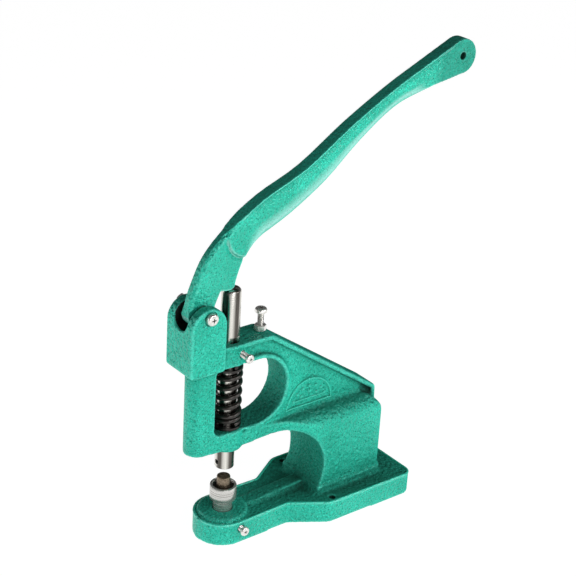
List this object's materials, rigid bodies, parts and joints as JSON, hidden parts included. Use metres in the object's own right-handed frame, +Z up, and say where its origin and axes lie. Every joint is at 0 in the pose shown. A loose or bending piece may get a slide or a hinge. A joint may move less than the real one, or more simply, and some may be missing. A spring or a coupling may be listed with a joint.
{
  "type": "snap setting press",
  "caption": "Bench hand press with a long cast lever that pushes a sprung round ram down onto a lower die to set snaps and eyelets.",
  "frame": {"origin": "on the flat underside, below the common axis of the ram and the lower die", "axes": "+Z up along the ram; -Y towards the rounded nose and the yoke in front of the ram; +Y towards the column and the base's rear; +X the side with the clamp screw, the guide screw and the pivot bolt's head"},
  "size_m": [0.0968, 0.3201, 0.4468],
  "materials": {
    "frame_casting": "hammertone enamel on cast iron",
    "handle": "hammertone enamel on cast iron",
    "pivot_bolt": "zinc plated",
    "pivot_washer": "zinc plated",
    "pivot_nut": "zinc plated",
    "pivot_spacer_left": "turned",
    "pivot_spacer_right": "turned",
    "ram": "ground and polished",
    "ram_cross_pin": "blackened",
    "upper_die_set_screw": "blackened",
    "spring_seat_upper": "blackened",
    "spring_seat_lower": "blackened",
    "ram_spring": "black enamelled spring steel",
    "die_body": "turned and plated",
    "die_pilot": "oiled bronze",
    "die_retaining_ring": "blackened",
    "die_pilot_spring": "spring steel",
    "die_clamp_screw": "zinc plated",
    "guide_screw": "zinc plated",
    "stop_bolt": "zinc plated",
    "stop_lock_nut": "zinc plated"
  },
  "bodies": {
    "frame": {"frame_casting": "frame_casting", "pivot_bolt": "pivot_bolt", "pivot_washer": "pivot_washer", "pivot_nut": "pivot_nut", "pivot_spacer_left": "pivot_spacer_left", "pivot_spacer_right": "pivot_spacer_right", "spring_seat_lower": "spring_seat_lower", "ram_spring": "ram_spring", "die_body": "die_body", "die_retaining_ring": "die_retaining_ring", "die_pilot_spring": "die_pilot_spring"},
    "handle": {"handle": "handle"},
    "ram": {"ram": "ram", "ram_cross_pin": "ram_cross_pin", "spring_seat_upper": "spring_seat_upper"},
    "upper_die_set_screw": {"upper_die_set_screw": "upper_die_set_screw"},
    "die_pilot": {"die_pilot": "die_pilot"},
    "stop_bolt": {"stop_bolt": "stop_bolt"},
    "stop_lock_nut": {"stop_lock_nut": "stop_lock_nut"},
    "guide_screw": {"guide_screw": "guide_screw"},
    "die_clamp_screw": {"die_clamp_screw": "die_clamp_screw"}
  },
  "joints": [
    {"name": "handle_swing", "type": "hinge", "parent": "frame", "child": "handle", "pos_m": [0, -0.0354, 0.2405], "axis": [-1, 0, 0], "range_deg": [0, 19.5]},
    {"name": "ram_slide", "type": "slide", "parent": "frame", "child": "ram", "axis": [0, 0, -1], "range_m": [0, 0.0112], "stiffness_N_per_m": 20000, "springref_m": -0.006, "deforming": ["ram_spring"]},
    {"name": "die_pilot_slide", "type": "slide", "parent": "frame", "child": "die_pilot", "axis": [0, 0, -1], "range_m": [0, 0.005], "stiffness_N_per_m": 2000, "springref_m": -0.004, "deforming": ["die_pilot_spring"]},
    {"name": "upper_die_set_screw_turn", "type": "hinge", "parent": "ram", "child": "upper_die_set_screw", "pos_m": [0, -0.0065, 0.078], "axis": [0, -1, 0], "continuous": true},
    {"name": "stop_bolt_turn", "type": "hinge", "parent": "frame", "child": "stop_bolt", "pos_m": [0, 0.034, 0.2215], "axis": [0, 0, 1], "continuous": true},
    {"name": "stop_lock_nut_turn", "type": "hinge", "parent": "frame", "child": "stop_lock_nut", "pos_m": [0, 0.034, 0.206], "axis": [0, 0, 1], "continuous": true},
    {"name": "guide_screw_turn", "type": "hinge", "parent": "frame", "child": "guide_screw", "pos_m": [0.02, 0.0045, 0.1928], "axis": [1, 0, 0], "continuous": true},
    {"name": "die_clamp_screw_turn", "type": "hinge", "parent": "frame", "child": "die_clamp_screw", "pos_m": [0.02, 0.003, 0.015], "axis": [1, 0, 0], "continuous": true}
  ],
  "couplings": [
    {"joint": "ram_slide", "follows": "handle_swing", "m_per_rad": 0.0322}
  ]
}
